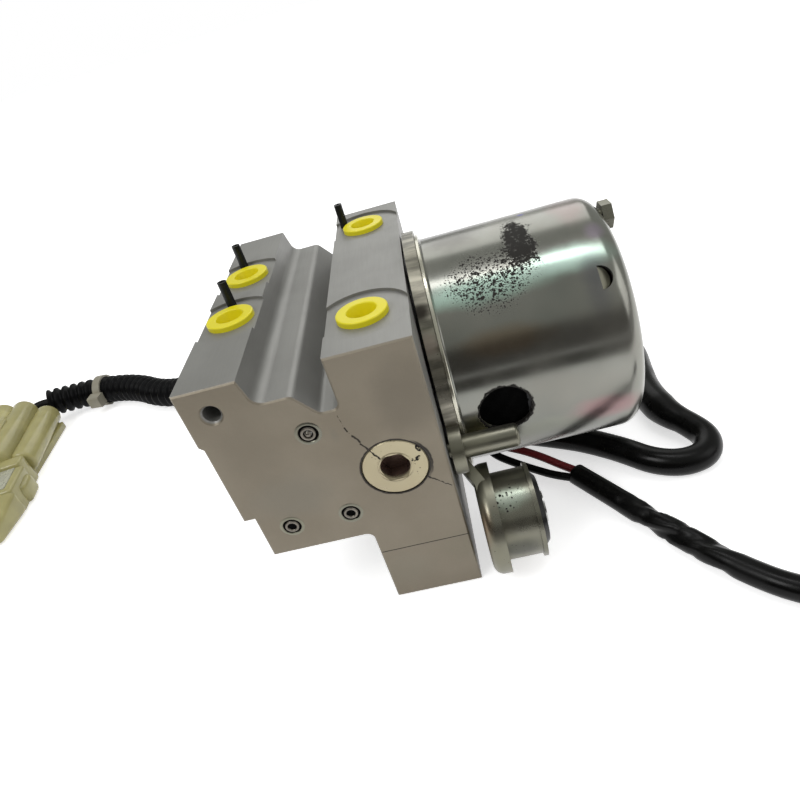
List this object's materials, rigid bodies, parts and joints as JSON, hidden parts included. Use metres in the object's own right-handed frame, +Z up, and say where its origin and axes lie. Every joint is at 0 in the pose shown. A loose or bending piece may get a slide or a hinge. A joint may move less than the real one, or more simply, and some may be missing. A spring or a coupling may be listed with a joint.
{
  "type": "anti-lock brake module",
  "caption": "Anti-lock brake hydraulic unit: drilled valve block with pump motor, mounting cups, plugged ports, valve cover, harness and breather hose.",
  "frame": {"origin": "middle of the module's box at the level of the foot's underside, cords left out", "axes": "+X along the motor away from the block, +Y along the block towards its rear end, +Z up"},
  "size_m": [0.4019, 0.2483, 0.1024],
  "materials": {
    "aluminium_block": "fine milled, satin",
    "yellow_plastic": "moulded",
    "dark_steel": "blackened",
    "zinc_plate": "yellow passivated zinc",
    "bright_steel": "ground",
    "cast_aluminium": "die cast",
    "lamination_steel": "stamped laminations",
    "ferrite": "sintered",
    "copper": "enamelled wire and bars",
    "bronze": "sintered",
    "carbon": "pressed carbon",
    "black_plastic": "moulded",
    "black_rubber": "moulded",
    "red_insulation": "extruded",
    "white_nylon": "moulded",
    "milky_plastic": "unfilled, slightly see-through"
  },
  "bodies": {
    "unit": {"accumulator_caps": "cast_aluminium", "accumulator_spring_front": "bright_steel", "accumulator_spring_rear": "bright_steel", "bearing_balls": "bright_steel", "bearing_outer": "bright_steel", "breather_hose": "black_rubber", "brush_card": "black_plastic", "brushes": "carbon", "bush_front": "bright_steel", "bush_rear": "bright_steel", "cable_tie": "white_nylon", "conduit": "black_plastic", "connector_housing": "milky_plastic", "connector_plug": "milky_plastic", "cover_screws": "bright_steel", "cover_seal": "black_rubber", "end_bush": "bronze", "gallery_balls": "bright_steel", "gallery_sleeves": "zinc_plate", "grommet_front": "black_rubber", "grommet_rear": "black_rubber", "harness_wiring": "black_rubber", "lead_black": "black_rubber", "lead_plug": "black_plastic", "lead_red": "red_insulation", "lead_sleeve": "black_rubber", "locating_pins": "dark_steel", "magnet_front": "ferrite", "magnet_rear": "ferrite", "motor_base": "cast_aluminium", "motor_bracket": "zinc_plate", "motor_can": "zinc_plate", "motor_gasket": "black_rubber", "motor_nuts": "zinc_plate", "plunger_springs": "bright_steel", "plungers": "bright_steel", "port_plug_1": "yellow_plastic", "port_plug_2": "yellow_plastic", "port_plug_3": "yellow_plastic", "port_plug_4": "yellow_plastic", "pump_cartridges": "bright_steel", "pump_plug_front": "zinc_plate", "pump_plug_rear": "zinc_plate", "tie_bolts": "zinc_plate", "valve_block": "aluminium_block", "valve_bodies": "bright_steel", "valve_coils": "black_plastic", "valve_cover": "black_plastic"},
    "rotor": {"motor_shaft": "bright_steel", "armature_core": "lamination_steel", "armature_winding": "copper", "commutator": "copper", "bearing_inner": "bright_steel"},
    "cam_bearing": {"cam_ring": "bright_steel"},
    "piston_front": {"accumulator_piston_front": "cast_aluminium"},
    "piston_rear": {"accumulator_piston_rear": "cast_aluminium"},
    "valve_1": {"valve_armature_1": "bright_steel"},
    "valve_2": {"valve_armature_2": "bright_steel"},
    "valve_3": {"valve_armature_3": "bright_steel"},
    "valve_4": {"valve_armature_4": "bright_steel"}
  },
  "joints": [
    {"name": "rotor_spin", "type": "hinge", "parent": "unit", "child": "rotor", "pos_m": [0.0076, 0, 0.0542], "axis": [1, 0, 0], "continuous": true},
    {"name": "cam_ring_spin", "type": "hinge", "parent": "rotor", "child": "cam_bearing", "pos_m": [-0.0074, 0, 0.0554], "axis": [1, 0, 0], "continuous": true},
    {"name": "accumulator_front_slide", "type": "slide", "parent": "unit", "child": "piston_front", "axis": [0, 0, -1], "range_m": [0, 0.005], "stiffness_N_per_m": 2000, "springref_m": -0.004, "deforming": ["accumulator_spring_front"]},
    {"name": "accumulator_rear_slide", "type": "slide", "parent": "unit", "child": "piston_rear", "axis": [0, 0, -1], "range_m": [0, 0.005], "stiffness_N_per_m": 2000, "springref_m": -0.004, "deforming": ["accumulator_spring_rear"]},
    {"name": "valve_1_slide", "type": "slide", "parent": "unit", "child": "valve_1", "axis": [-1, 0, 0], "range_m": [0, 0.0007], "stiffness_N_per_m": 800, "springref_m": -0.001},
    {"name": "valve_2_slide", "type": "slide", "parent": "unit", "child": "valve_2", "axis": [-1, 0, 0], "range_m": [0, 0.0007], "stiffness_N_per_m": 800, "springref_m": -0.001},
    {"name": "valve_3_slide", "type": "slide", "parent": "unit", "child": "valve_3", "axis": [-1, 0, 0], "range_m": [0, 0.0007], "stiffness_N_per_m": 800, "springref_m": -0.001},
    {"name": "valve_4_slide", "type": "slide", "parent": "unit", "child": "valve_4", "axis": [-1, 0, 0], "range_m": [0, 0.0007], "stiffness_N_per_m": 800, "springref_m": -0.001}
  ]
}
